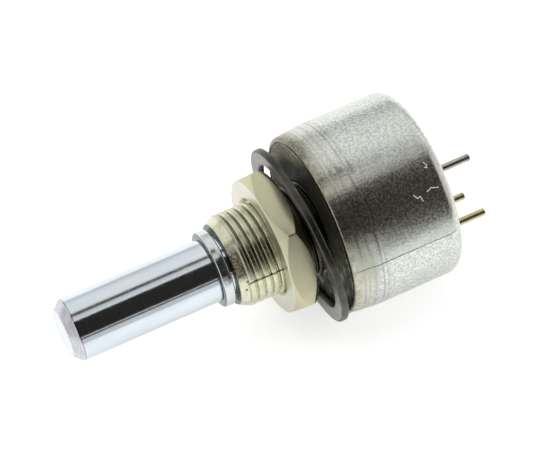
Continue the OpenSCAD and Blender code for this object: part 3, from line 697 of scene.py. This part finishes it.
class PotSizes(PropertyGroup):
    """Sizes of the pieces that are modelled here."""

    tip_bevel: length("Tip bevel", "Length of the bevel at the shaft's tip", 0.9)
    tip_bevel_width: length("Tip bevel width", "Width of that bevel on the radius", 0.85)
    ring_groove: length("Ring groove", "Depth of the groove that holds the ring", 0.5)
    drive_step: length("Drive step", "Step down to the shaft's drive end", 0.7)
    drive_flat: length("Drive flat", "Depth of each flat on the drive end", 0.5)
    bush_diameter: length("Bush thread", "Diameter over the thread's crests", 9.45)
    bush_bevel: length("Bush bevel", "Length of the bevel at the bush's front", 1.1)
    bush_bevel_width: length("Bush bevel width", "Width of that bevel on the radius", 0.6)
    pitch: length("Thread pitch", "Distance between two crests of the thread", 0.79375)
    thread_depth: length("Thread depth", "Height of a crest above the root", 0.33)
    thread_place: length("Thread place", "Place of a crest on the side towards the camera", -7.732)
    nut_flats: length("Nut flats", "Width of the nut across its flats", 13.7)
    nut_face_inset: length("Nut face inset", "Distance of the round face inside the flats", 0.08)
    nut_front_bevel: length("Nut front bevel", "Depth of the front bevel at a corner", 0.9)
    nut_rear_bevel: length("Nut rear bevel", "Depth of the rear bevel at a corner", 1.1)
    countersink: length("Countersink", "Depth of the countersink in the nut", 0.4)
    washer_inset: length("Washer inset", "Distance of the lock washer's rim inside the can", 0.25)
    washer_rim: length("Washer rim", "Width of the lock washer's rim", 1.6)
    washer_play: length("Washer play", "Gap between the teeth and the thread", 0.45)
    washer_sheet: length("Washer sheet", "Thickness of the lock washer", 0.75)
    tooth_root: length("Tooth root", "Width of a tooth at the rim", 3.1)
    tooth_tip: length("Tooth tip", "Width of a tooth at its tip", 2.1)
    can_wall: length("Can sheet", "Thickness of the can's sheet", 0.45)
    can_rear: length("Can rear corner", "Radius of the can's rear corner", 1.15)
    can_roll: length("Can roll", "Radius of the can's rolled front edge", 0.42)
    can_shoulder_width: length("Shoulder width", "Width of the shoulder at the front", 0.55)
    can_lip: length("Can lip", "Width of the rolled lip", 0.8)
    lip_depth: length("Lip depth", "Depth of the rolled lip", 0.5)
    pin_diameter: length("Pin", "Diameter of a pin", 0.75)
    bead_diameter: length("Bead", "Diameter of the insulating bead", 1.9)
    fit: length("Fit", "Clearance of seated pieces on the radius", 0.02)
    teeth: IntProperty(name="Teeth", description="Number of teeth on the washer", default=9, min=5)
    tooth_twist: angle("Tooth twist", "Twist of a tooth at its tip", 13)


class PotColours(PropertyGroup):
    """Colours of the finishes."""

    shaft: tint("Shaft", "Bright plated steel", (0.8, 0.87, 0.93))
    ring: tint("Ring", "Bright plated spring wire", (0.84, 0.88, 0.88))
    bush: tint("Bush", "Dull nickel plate", (0.86, 0.86, 0.66))
    nut: tint("Nut", "Satin champagne plate", (0.67, 0.64, 0.435))
    washer: tint("Washer", "Black oxide", (0.125, 0.122, 0.11))
    can: tint("Can", "Matt plate", (0.8, 0.83, 0.78))
    plate: tint("Front plate", "Black moulding", (0.04, 0.038, 0.028))
    gold: tint("Gold wire", "Thin gold plate", (0.72, 0.66, 0.38))
    tin: tint("Tin wire", "Tinned wire", (0.62, 0.6, 0.5))
    bead: tint("Bead", "Dark insulating bead", (0.07, 0.05, 0.03))
    floor: tint("Floor", "Pale floor", (0.86, 0.86, 0.86))


class PotStage(PropertyGroup):
    """Camera and light."""

    azimuth: angle("Azimuth", "Direction of the camera", 63.13)
    elevation: angle("Elevation", "Height of the camera", 58.5)
    distance: length("Distance", "Distance of the camera from its target", 230.64)
    lens: FloatProperty(name="Lens", description="Focal length", default=159.9, unit="CAMERA")
    daylight: strength("Daylight", "Strength of the light all round", 0.72)
    floor_glow: strength("Floor glow", "White that the eye sees on top of the lit floor", 0.56)
    lamp: strength("Lamp", "Power of the soft lamp in watts", 0.55)


# Operators


def chosen(context):
    """The sizes and colours set in the sidebar."""
    return context.scene.pot_sizes, context.scene.pot_colours


class POT_OT_shaft(Operator):
    """Turns the shaft and bends the open ring that holds it"""

    bl_idname = "pot.shaft"
    bl_label = "Shaft and ring"

    def execute(self, context):
        sizes, colours = chosen(context)
        tip, rear, r = SHAFT_LOW.y, SHAFT_HIGH.y, SHAFT_HIGH.x
        drive_y, drive_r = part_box("stop_arm")[0].y, r - sizes.drive_step
        groove_r, bevel_end = r - sizes.ring_groove, tip + sizes.tip_bevel

        # Two more points near the wall's ends keep its shading even
        even = 0.2 * MM
        shaft = turn(
            "shaft_bar",
            [(r - sizes.tip_bevel_width, tip), (r, bevel_end), (r, bevel_end + even), (r, RING_LOW.y - even)]
            + [(r, RING_LOW.y), (groove_r, RING_LOW.y), (groove_r, RING_HIGH.y), (r, RING_HIGH.y)]
            + [(r, drive_y), (drive_r, drive_y), (drive_r, rear)],
            solid=True,
        )
        round_edges(shaft, 0.07 * MM, 3)
        for side in (1, -1):
            deselect()
            bpy.ops.mesh.primitive_cube_add(size=1)
            flat = bpy.context.object
            flat.scale = (4 * drive_r, 2 * (rear - drive_y), drive_r)
            place(flat, (0, rear + 0.001 * MM, side * (1.5 * drive_r - sizes.drive_flat)))
            combine(shaft, flat, "DIFFERENCE")
        stand_for(shaft, "shaft", "rotor", bright_shaft("bright shaft", colours))

        half = math.radians(16)
        y0, y1, inner, outer, e = RING_LOW.y, RING_HIGH.y, groove_r + sizes.fit, RING_HIGH.x, 0.18 * MM
        section = (
            arc(inner + e, y0 + e, e, 180, 270, 4)
            + arc(outer - e, y0 + e, e, 270, 360, 4)
            + arc(outer - e, y1 - e, e, 0, 90, 4)
            + arc(inner + e, y1 - e, e, 90, 180, 4)
        )
        ring = draw_section("open_ring", section)
        bpy.ops.mesh.edge_face_add()
        bpy.ops.mesh.spin(steps=150, angle=2 * math.pi - 2 * half, center=(0, 0, 0), axis=(0, 1, 0))
        clean()
        place(ring, rotation=(0, RING_OPENING - math.pi / 2 - half, 0))
        stand_for(ring, "retaining_ring", "rotor", spring_ring("spring ring", colours))
        return {"FINISHED"}


class POT_OT_bush(Operator):
    """Cuts the bush with its fine thread, bevel and flange"""

    bl_idname = "pot.bush"
    bl_label = "Bush"

    def execute(self, context):
        sizes, colours = chosen(context)
        crest = sizes.bush_diameter / 2
        root = crest - sizes.thread_depth
        bore = SHAFT_HIGH.x + 0.03 * MM
        front, rear = BUSH_LOW.y, BUSH_HIGH.y
        thread_end = 0.3 * MM
        pitch = sizes.pitch
        quarter = (math.pi / 2 - NUT_CORNER) / (2 * math.pi) * pitch
        begin = sizes.thread_place + quarter - GROOVE_PHASE * pitch
        begin -= math.ceil((begin - front) / pitch + 1.2) * pitch
        turns = int((thread_end - begin) / pitch) + 3
        depth = sizes.thread_depth
        fall = [(1 - share, height) for share, height in reversed(THREAD_RISE)]
        flanks = (*THREAD_RISE, (0.5, 0.985), *fall)
        points = [(root + height * depth, begin + share * pitch) for share, height in flanks]
        rod = draw_section("bush_barrel", points, closed=False)
        bpy.ops.object.mode_set(mode="OBJECT")
        joined = {"use_merge_vertices": True, "merge_threshold": DOUBLES}
        helix = {"axis": "Y", "screw_offset": pitch, "iterations": turns, "steps": 120, "render_steps": 120}
        apply_modifier(rod, "SCREW", **helix, **joined)
        edit_all()
        merge()
        for y, outwards in ((front, -1), (thread_end, 1)):
            bpy.ops.mesh.select_all(action="SELECT")
            plane = {"plane_co": (0, y, 0), "plane_no": (0, outwards, 0), "threshold": 0.0001 * MM}
            bpy.ops.mesh.bisect(use_fill=True, clear_outer=True, **plane)
        clean()
        over, cone_r, cone_end = 0.2 * MM, crest + 0.01 * MM, thread_end + 0.2 * MM
        tip_r = crest - sizes.bush_bevel_width
        cone = turn(
            "bevel_tool",
            [(tip_r - over, front - over), (tip_r, front)]
            + [(cone_r, front + sizes.bush_bevel), (cone_r, cone_end)],
            solid=True,
        )
        combine(rod, cone, "INTERSECT")

        # The smooth land before the first groove follows the bevel
        lead, runout = 0.82 * MM, 0.35 * MM
        land_r, slope = tip_r - 0.004 * MM, sizes.bush_bevel_width / sizes.bush_bevel
        land_end = front + lead
        points = [(land_r, front), (land_r + lead * slope, land_end), (root - 0.05 * MM, land_end + runout)]
        land = turn("land_tool", points, solid=True)
        combine(rod, land, "UNION")
        start, body_r, flange_r = 0.1 * MM, crest - 0.02 * MM, BUSH_HIGH.x
        points = [(body_r, start), (body_r, rear - FLANGE), (flange_r, rear - FLANGE), (flange_r, rear)]
        flange = turn("flange_tool", points, solid=True)
        combine(rod, flange, "UNION")
        bevel = 0.12 * MM
        points = [(bore + MM + bevel, front - MM), (bore, front + bevel), (bore, rear + MM)]
        hole = turn("bore_tool", points, solid=True)
        combine(rod, hole, "DIFFERENCE")
        stand_for(rod, "bushing", "body", dull_nickel("dull nickel", colours, sizes), 28)
        return {"FINISHED"}


class POT_OT_nut(Operator):
    """Cuts the hexagon nut with its bevelled corners"""

    bl_idname = "pot.nut"
    bl_label = "Nut"

    def execute(self, context):
        sizes, colours = chosen(context)
        front, rear = NUT_LOW.y, NUT_HIGH.y
        corner = sizes.nut_flats / 2 / math.cos(math.radians(30))
        face = sizes.nut_flats / 2 - sizes.nut_face_inset
        bore = sizes.bush_diameter / 2 + sizes.fit
        sink = sizes.countersink
        deselect()
        bpy.ops.mesh.primitive_cylinder_add(vertices=6, radius=corner, depth=rear - front)
        nut = bpy.context.object
        nut.name = nut.data.name = "six_sided_nut"
        select_edges(nut, lambda a, b: abs(a.z - b.z) > MM)
        bpy.ops.mesh.bevel(offset=0.12 * MM, segments=3, affect="EDGES")
        bpy.ops.mesh.select_mode(type="VERT")
        bpy.ops.object.mode_set(mode="OBJECT")
        place(nut, (0, (front + rear) / 2, 0), (math.pi / 2, NUT_CORNER, 0))
        cone_r = corner + 0.05 * MM
        front_end, rear_end = front + sizes.nut_front_bevel, rear - sizes.nut_rear_bevel
        points = [(face, front), (cone_r, front_end), (cone_r, rear_end), (face, rear)]
        cones = turn("cone_tool", points, 240, solid=True)
        combine(nut, cones, "INTERSECT")
        wide = bore + sink + MM
        points = [(wide, front - MM), (bore, front + sink), (bore, rear - sink), (wide, rear + MM)]
        hole = turn("bore_tool", points, solid=True)
        combine(nut, hole, "DIFFERENCE")
        round_edges(nut, 0.05 * MM, 2, 25)
        stand_for(nut, "hex_nut", "body", satin_nickel("satin nickel", colours), 30)
        return {"FINISHED"}


class POT_OT_lock_washer(Operator):
    """Stamps the lock washer and twists its teeth"""

    bl_idname = "pot.lock_washer"
    bl_label = "Lock washer"

    def execute(self, context):
        sizes, colours = chosen(context)
        low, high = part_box("lock_washer")
        outer = CAN_HIGH.x - sizes.washer_inset
        rim = outer - sizes.washer_rim
        tip = sizes.bush_diameter / 2 + sizes.washer_play
        share = math.pi / sizes.teeth
        root_half, tip_half = sizes.tooth_root / 2, sizes.tooth_tip / 2
        reach = rim - tip

        first = Matrix.Rotation(share, 3, "Y") @ Vector((rim, 0, 0))
        washer = start_vertex("toothed_washer", first)
        bpy.ops.mesh.spin(steps=24, angle=-2 * share, center=(0, 0, 0), axis=(0, 1, 0))
        merge()
        bpy.ops.mesh.extrude_edges_move()
        grow = outer / rim
        bpy.ops.transform.resize(value=(grow, 1, grow), center_override=(0, 0, 0))

        # Each tooth narrows from a fillet at the rim to a rounded tip, and twists on its way
        fillet, tip_round = 0.45 * MM, 14.4 * MM
        half = root_half + fillet

        def at_root(*ends):
            near = [abs(math.hypot(v.x, v.z) - rim) < 0.01 * MM and abs(v.z) < half for v in ends]
            return all(near) and all(v.x > 0 for v in ends)

        select_edges(washer, at_root)
        turned, gone = 0.0, 0.0
        for station in TOOTH_STATIONS:
            depth = station * reach
            wanted = root_half + (tip_half - root_half) * station
            if depth < fillet:
                wanted += fillet - math.sqrt(fillet**2 - (fillet - depth) ** 2)
            wanted -= max(0.0, station - 0.9) ** 2 * tip_round
            angle = sizes.tooth_twist * station
            bpy.ops.mesh.extrude_edges_move(TRANSFORM_OT_translate={"value": (-(depth - gone), 0, 0)})
            centre = (rim - depth, 0, 0)
            bpy.ops.transform.resize(value=(1, wanted / half, wanted / half), center_override=centre)
            bpy.ops.transform.rotate(value=-(angle - turned), orient_axis="X", center_override=centre)
            half, turned, gone = wanted, angle, depth
        bpy.ops.mesh.select_mode(type="VERT")
        bpy.ops.mesh.select_all(action="SELECT")
        for _ in range(sizes.teeth - 1):
            bpy.ops.mesh.duplicate()
            bpy.ops.transform.rotate(value=2 * share, orient_axis="Y", center_override=(0, 0, 0))
        clean(0.003 * MM)
        place(washer, rotation=(0, FIRST_TOOTH - math.pi / 2, 0))
        apply_modifier(washer, "SOLIDIFY", thickness=sizes.washer_sheet, offset=0, use_even_offset=True)
        round_edges(washer, 0.2 * MM, 4, 40)
        lean = math.asin((high.y - low.y - sizes.washer_sheet) / (2 * outer))
        swing = Matrix.Rotation(WASHER_LEAN, 4, "Y")
        tilt = swing @ Matrix.Rotation(lean, 4, "X") @ swing.inverted()
        place(washer, (high + low) / 2, tilt.to_euler())
        stand_for(washer, "lock_washer", "body", black_oxide("black oxide", colours), 38)
        return {"FINISHED"}


class POT_OT_can(Operator):
    """Draws the can with its rolled front and three holes, and turns the front plate"""

    bl_idname = "pot.can"
    bl_label = "Can and front plate"

    def execute(self, context):
        sizes, colours = chosen(context)
        r, rear, wall = CAN_HIGH.x, CAN_HIGH.y, sizes.can_wall
        corner, lip_r, lip = sizes.can_rear, r - sizes.can_lip, sizes.lip_depth
        front_r, roll = r - sizes.can_shoulder_width, sizes.can_roll
        edge, roll_r, step = 0.1 * MM, front_r - 0.12 * MM, lip + 0.05 * MM
        can = turn(
            "drawn_can",
            [(lip_r, edge), (lip_r + edge, 0), (roll_r, 0)]
            + arc(roll_r, roll, roll, -80, -30, 8)
            + [(r - drop * MM, y * MM) for y, drop in CAN_TAPER]
            + arc(r - corner, rear - corner, corner, 0, 90, 16)
            + [(0, rear), (0, rear - wall)]
            + arc(r - corner, rear - corner, corner - wall, 90, 0, 10)
            + [(r - wall, 1.2 * MM), (r - wall - 0.25 * MM, step), (lip_r, step)],
            steps=240,
        )
        for x, _, _, z in PIN_PLACES.values():
            deselect()
            bead_r = sizes.bead_diameter / 2 + sizes.fit
            bpy.ops.mesh.primitive_cylinder_add(vertices=48, radius=bead_r, depth=3 * wall)
            hole = bpy.context.object
            place(hole, (x, rear, z), (math.pi / 2, 0, 0))
            combine(can, hole, "DIFFERENCE")
        stand_for(can, "can", "body", plated_can("plated can", colours))

        # The plate has a step behind the lip, a groove for its seal and a seat for the flange
        hole_r, seat_r = sizes.bush_diameter / 2 + sizes.fit, BUSH_HIGH.x + sizes.fit
        back, plate_r, boss_r = BUSH_HIGH.y, PLATE_HIGH.x, lip_r - sizes.fit
        step, seat_y = step + sizes.fit, back - FLANGE - sizes.fit
        groove_r, groove, groove_end = plate_r - 0.9 * MM, step + 0.3 * MM, step + 1.24 * MM
        disc = turn(
            "moulded_front",
            [(hole_r, edge), (hole_r + edge, 0), (lip_r - 0.15 * MM, 0), (boss_r, 0.12 * MM), (boss_r, step)]
            + [(plate_r, step), (plate_r, groove), (groove_r, groove), (groove_r, groove_end)]
            + [(plate_r, groove_end), (plate_r, back), (seat_r, back), (seat_r, seat_y), (hole_r, seat_y)],
        )
        stand_for(disc, "front_plate", "body", black_moulding("black moulding", colours))
        return {"FINISHED"}


class POT_OT_pins(Operator):
    """Draws the three wire pins and the beads they pass through"""

    bl_idname = "pot.pins"
    bl_label = "Pins and beads"

    def execute(self, context):
        sizes, colours = chosen(context)
        gold, tin = wire("gold wire", colours.gold), wire("tin wire", colours.tin)
        glass = plain("dark bead", colours.bead, 0.0, 0.16, 0.3)
        r, rear = sizes.pin_diameter / 2, CAN_HIGH.y
        root_r, head_r, head, bevel = r + 0.05 * MM, 0.6 * MM, 0.2 * MM, 0.1 * MM
        inner, outer = root_r + sizes.fit, sizes.bead_diameter / 2
        inside = rear - sizes.can_wall + sizes.fit
        for name, (x, start, end, z) in PIN_PLACES.items():
            bead_name = "pin_bead_" + name[-1]
            bead_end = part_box(bead_name)[1].y
            pin = turn(
                name + "_wire",
                [(head_r, start), (head_r, start + head), (root_r, start + head)]
                + [(root_r, bead_end - 0.05 * MM), (r, bead_end), (r, end - bevel), (r - bevel, end)],
                steps=48,
                solid=True,
            )
            place(pin, (x, 0, z))
            slot, metal = ("pin_tin", tin) if name == "end_pin_1" else ("pin_gold", gold)
            stand_for(pin, name, "body", metal)
            dome = []
            for t in (0.15, 0.3, 0.45, 0.6, 0.75, 0.88):
                height = (bead_end - rear) * math.cos(t * math.pi / 2) ** 0.8 + 0.01 * MM * (1 - t)
                dome.append((inner + (outer - inner) * t, rear + height))
            bead = turn(
                bead_name + "_glass",
                [(inner, inside), (inner, bead_end), *dome, (outer, rear - 0.02 * MM), (outer, inside)],
                steps=64,
            )
            place(bead, (x, 0, z))
            stand_for(bead, bead_name, "body", glass, 40)
        return {"FINISHED"}


class POT_OT_inner_pieces(Operator):
    """Gives the solids inside the can and bush their finishes"""

    bl_idname = "pot.inner_pieces"
    bl_label = "Inner pieces"

    def execute(self, context):
        finishes = {
            "inner_steel": plain("stamped steel", (0.6, 0.61, 0.62), 1.0, 0.3),
            "black_rubber": plain("black rubber", (0.02, 0.02, 0.02), 0.0, 0.6),
            "amber_moulding": plain("brown moulding", (0.24, 0.13, 0.05), 0.0, 0.45),
            "ceramic": plain("white ceramic", (0.86, 0.85, 0.8), 0.0, 0.4, variation=0.05),
            "track_ink": plain("track ink", (0.03, 0.03, 0.03), 0.0, 0.55),
            "silver_ink": plain("silver ink", (0.7, 0.7, 0.7), 1.0, 0.45),
            "contact_metal": plain("contact metal", (0.8, 0.62, 0.34), 1.0, 0.25),
            "rivet_brass": plain("rivet brass", (0.76, 0.62, 0.33), 1.0, 0.25),
        }
        for part in frame["record"]["subparts"]:
            node, finish = frame["nodes"][part["node"]], finishes.get(part.get("material_slot"))
            if finish and not node.hide_render:
                node.data.materials.clear()
                node.data.materials.append(finish)
        return {"FINISHED"}


class POT_OT_stage(Operator):
    """Sets the pale floor, the studio light and the camera"""

    bl_idname = "pot.stage"
    bl_label = "Stage"

    def execute(self, context):
        stage, colours = context.scene.pot_stage, context.scene.pot_colours
        self.floor(stage, colours)
        self.world(stage)
        self.lamp(stage)
        self.camera(stage)
        context.scene.view_settings.view_transform = "Standard"
        return {"FINISHED"}

    def floor(self, stage, colours):
        deselect()
        bpy.ops.mesh.primitive_circle_add(
            vertices=96, radius=0.9, fill_type="NGON", location=(0, 0, CAD_BOX[0].z - 0.02 * MM)
        )
        floor = bpy.context.object
        floor.name = "floor"
        f = Finish("pale floor", colours.floor, 0.0, 0.9, Specular_IOR_Level=0.0)
        f.base(f.between(f.noise(40, 2), 0.3, 0.7), f.shade(0.985), f.own)
        path = f.add("LightPath").outputs
        seen = f.most(path["Is Camera Ray"], path["Is Transmission Ray"], f.times(path["Is Glossy Ray"], 0.55))
        glow, both = f.add("Emission"), f.add("AddShader")
        f.feed(glow.inputs["Strength"], f.times(seen, stage.floor_glow))
        f.feed(both.inputs[0], f.shader.outputs[0])
        f.feed(both.inputs[1], glow.outputs[0])
        f.feed(f.tree.nodes["Material Output"].inputs["Surface"], both.outputs[0])
        floor.data.materials.append(f.done(0.9))

    def world(self, stage):
        """White all round, with soft dark bands overhead that polished pieces reflect."""
        world = bpy.data.worlds.new("studio")
        bpy.context.scene.world = world
        world.use_nodes = True
        world.node_tree.nodes.clear()
        n = Nodes(world.node_tree)
        x, y, z = n.split(n.add("TexCoord").outputs["Generated"])
        angle, back = n.calc("ARCTAN2", x, z), n.between(y, 0.215, 0.27)

        def past(value, low, high):
            """0 before the low angle in degrees, rising to 1 at the high one."""
            return n.between(value, math.radians(low), math.radians(high))

        # The wide band lies a little further round for what faces the rear
        start, end = n.times(back, math.radians(-3)), n.times(back, math.radians(15))
        across = n.times(past(n.less(angle, start), 5, 8), n.rest(past(n.less(angle, end), 64.5, 67)))
        dark = n.times(across, n.until(n.calc("ABSOLUTE", y), 0.5, 0.8))
        for centre, width, depth in STUDIO_LINES:
            line = n.rest(past(n.apart(angle, math.radians(centre)), width * 0.3, width))
            dark = n.most(dark, n.times(line, n.rest(back), depth))

        # White with slow changes from the top to the sides
        fade = n.times(past(angle, -30, 8), back, n.rest(across), 0.45)
        low = n.times(past(angle, 68, 82), 0.14)
        top = n.times(past(angle, -62, -86), back, 0.25)
        high = n.times(past(n.apart(angle, math.radians(-42)), 34, 12), 0.14)
        level = n.less(n.plus(0.92, high), n.plus(low, top, fade))
        level = n.times(level, n.rest(n.times(dark, n.less(0.975, n.times(back, 0.02)))))

        # Only reflections see the bands, which are a little warmer than the white
        path = n.add("LightPath").outputs
        glossy = path["Is Glossy Ray"]
        seen = n.most(path["Is Camera Ray"], path["Is Transmission Ray"], stage.daylight)
        warm, background = n.add("CombineColor"), n.add("Background")
        for channel, loss in (("Red", 0.0), ("Green", 0.08), ("Blue", 0.17)):
            n.feed(warm.inputs[channel], n.less(0.8, n.times(dark, glossy, loss)))
        n.feed(background.inputs["Color"], warm.outputs[0])
        n.feed(background.inputs["Strength"], n.plus(n.times(glossy, level), n.times(n.rest(glossy), seen)))
        n.feed(n.add("OutputWorld").inputs["Surface"], background.outputs[0])

    def lamp(self, stage):
        """One soft lamp from the upper left, out of the reflections."""
        deselect()
        bpy.ops.object.light_add(type="AREA", location=(-0.12, -0.1, 0.3))
        lamp = bpy.context.object
        lamp.name = "soft_lamp"
        lamp.data.energy = stage.lamp
        lamp.data.size = 0.3
        lamp.rotation_euler = (-lamp.location).to_track_quat("-Z", "Y").to_euler()
        lamp.visible_glossy = False

    def camera(self, stage):
        """The camera at the same angle, distance and frame as the photograph."""
        a, e = stage.azimuth, stage.elevation
        right = Vector((math.cos(a), math.sin(a), 0))
        back = Vector((math.sin(a) * math.cos(e), -math.cos(a) * math.cos(e), math.sin(e)))
        up = back.cross(right)
        middle = Vector((0, -5.1 * MM, 0))
        target = middle + right * 0.686 * MM + up * 2.109 * MM
        deselect()
        bpy.ops.object.camera_add(location=target + back * stage.distance)
        camera = bpy.context.object
        camera.name = "photo_camera"
        camera.rotation_euler = Matrix((right, up, back)).transposed().to_euler()
        camera.data.sensor_width = 36
        camera.data.lens = stage.lens
        camera.data.clip_start = 0.01
        camera.data.clip_end = 10
        bpy.context.scene.camera = camera


# What the sidebar shows and what is registered

GROUPS = {"pot_sizes": PotSizes, "pot_colours": PotColours, "pot_stage": PotStage}
STEPS = (
    *(POT_OT_shaft, POT_OT_bush, POT_OT_nut, POT_OT_lock_washer),
    *(POT_OT_can, POT_OT_pins, POT_OT_inner_pieces, POT_OT_stage),
)


class POT_PT_panel(Panel):
    """Lists the steps that make the potentiometer"""

    bl_idname = "POT_PT_panel"
    bl_label = "Rotary potentiometer"
    bl_space_type = "VIEW_3D"
    bl_region_type = "UI"
    bl_category = "Potentiometer"

    def draw(self, context):
        for step in STEPS:
            self.layout.operator(step.bl_idname)
        for name, group in GROUPS.items():
            box = self.layout.box()
            for key in group.__annotations__:
                box.prop(getattr(context.scene, name), key)


CLASSES = (*GROUPS.values(), *STEPS, POT_PT_panel)


def register():
    for cls in CLASSES:
        bpy.utils.register_class(cls)
    for name, group in GROUPS.items():
        setattr(bpy.types.Scene, name, PointerProperty(type=group))


def unregister():
    for name in GROUPS:
        delattr(bpy.types.Scene, name)
    for cls in reversed(CLASSES):
        bpy.utils.unregister_class(cls)


def main():
    """Makes every piece and the stage."""
    register()
    bpy.ops.pot.shaft()
    bpy.ops.pot.bush()
    bpy.ops.pot.nut()
    bpy.ops.pot.lock_washer()
    bpy.ops.pot.can()
    bpy.ops.pot.pins()
    bpy.ops.pot.inner_pieces()
    bpy.ops.pot.stage()


if __name__ == "__main__":
    main()
